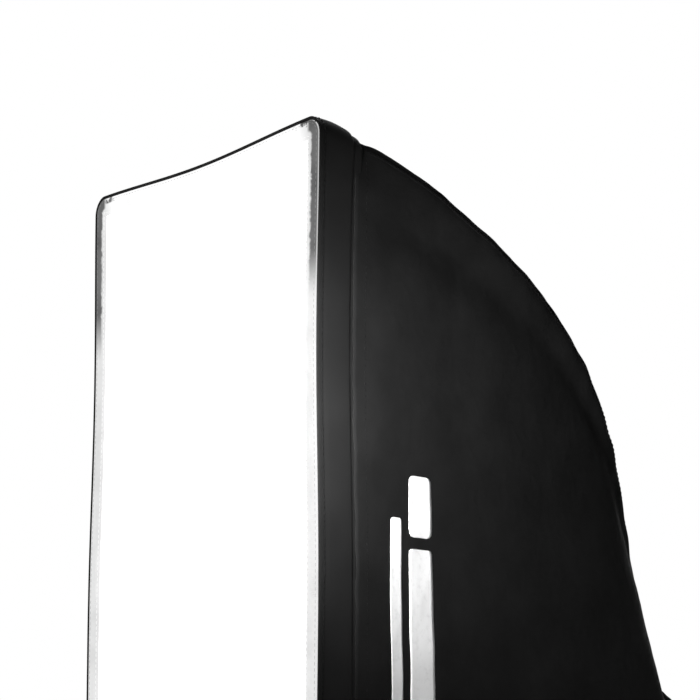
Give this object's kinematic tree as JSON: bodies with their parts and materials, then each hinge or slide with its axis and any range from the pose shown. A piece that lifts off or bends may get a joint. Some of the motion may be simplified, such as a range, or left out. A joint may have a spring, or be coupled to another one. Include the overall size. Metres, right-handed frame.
{
  "type": "strip softbox",
  "caption": "Tall narrow fabric light box held open by sprung rods on a turning ring, with a white front diffuser, inner baffle and a clamp adapter for a studio light.",
  "frame": {"origin": "on the adapter axis, at the rear face of the ring", "axes": "+Y along the adapter axis, away from the shell towards the studio light; +Z along the strip; +X across the strip"},
  "size_m": [0.3, 0.4341, 0.909],
  "materials": {
    "shell_fabric": "black woven nylon with a silver lining",
    "lip_fabric": "black woven nylon band, matte",
    "binding_tape": "black grosgrain tape",
    "webbing": "black woven webbing",
    "hook_and_loop": "black hook and loop tape",
    "diffusion_cloth": "white translucent diffusion cloth",
    "white_tape": "white woven tape",
    "black_rubber": "matte",
    "socket_metal": "black powder coat",
    "spring_steel": "drawn wire, satin",
    "ring_paint": "black powder coat, fine texture",
    "adapter_metal": "turned and bead blasted",
    "bright_steel": "zinc plated",
    "band_steel": "rolled strip, satin",
    "nut_metal": "knurled",
    "lever_metal": "black powder coat",
    "knob_plastic": "moulded, matte"
  },
  "bodies": {
    "adapter": {"adapter_flange": "adapter_metal", "adapter_sleeve": "adapter_metal", "grip_liner": "black_rubber", "clamp_band": "band_steel", "clamp_bolt": "bright_steel", "cam_pin": "bright_steel", "cam_washer": "bright_steel"},
    "cam_lever": {"cam_lever": "lever_metal"},
    "adjuster_nut": {"adjuster_nut": "nut_metal"},
    "lock_knob": {"lock_knob": "knob_plastic", "lock_stud": "bright_steel"},
    "diffuser": {"front_diffuser": "diffusion_cloth", "diffuser_border": "white_tape", "diffuser_hook_tape": "hook_and_loop"},
    "softbox": {"baffle_border": "white_tape", "baffle_straps": "webbing", "corner_binding_bottom_left": "binding_tape", "corner_binding_bottom_right": "binding_tape", "corner_binding_top_left": "binding_tape", "corner_binding_top_right": "binding_tape", "corner_pocket_bottom_left": "webbing", "corner_pocket_bottom_right": "webbing", "corner_pocket_top_left": "webbing", "corner_pocket_top_right": "webbing", "end_panel_bottom": "shell_fabric", "end_panel_top": "shell_fabric", "inner_baffle": "diffusion_cloth", "lip_bottom": "lip_fabric", "lip_left": "lip_fabric", "lip_loop_tape": "hook_and_loop", "lip_right": "lip_fabric", "lip_top": "lip_fabric", "rear_collar": "shell_fabric", "retaining_ring": "ring_paint", "retaining_screws": "bright_steel", "rim_piping": "binding_tape", "ring_body": "ring_paint", "rod_bottom_left": "spring_steel", "rod_bottom_right": "spring_steel", "rod_socket_bottom_left": "socket_metal", "rod_socket_bottom_right": "socket_metal", "rod_socket_top_left": "socket_metal", "rod_socket_top_right": "socket_metal", "rod_tips": "black_rubber", "rod_top_left": "spring_steel", "rod_top_right": "spring_steel", "side_panel_left": "shell_fabric", "side_panel_right": "shell_fabric", "socket_screws": "bright_steel"}
  },
  "joints": [
    {"name": "softbox_spin", "type": "hinge", "parent": "adapter", "child": "softbox", "pos_m": [0, 0, 0], "axis": [0, 1, 0], "continuous": true},
    {"name": "diffuser_peel", "type": "slide", "parent": "softbox", "child": "diffuser", "axis": [0, -1, 0], "range_m": [0, 0.12]},
    {"name": "lock_knob_turn", "type": "hinge", "parent": "softbox", "child": "lock_knob", "pos_m": [-0.05091, 0.0107, -0.05091], "axis": [0, 1, 0], "range_deg": [0, 720]},
    {"name": "cam_lever_swing", "type": "hinge", "parent": "adapter", "child": "cam_lever", "pos_m": [0.068, 0.033, 0.01875], "axis": [0, 1, 0], "range_deg": [0, 110]},
    {"name": "adjuster_nut_turn", "type": "hinge", "parent": "adapter", "child": "adjuster_nut", "pos_m": [0.068, 0.033, -0.0127], "axis": [0, 0, 1], "continuous": true}
  ]
}
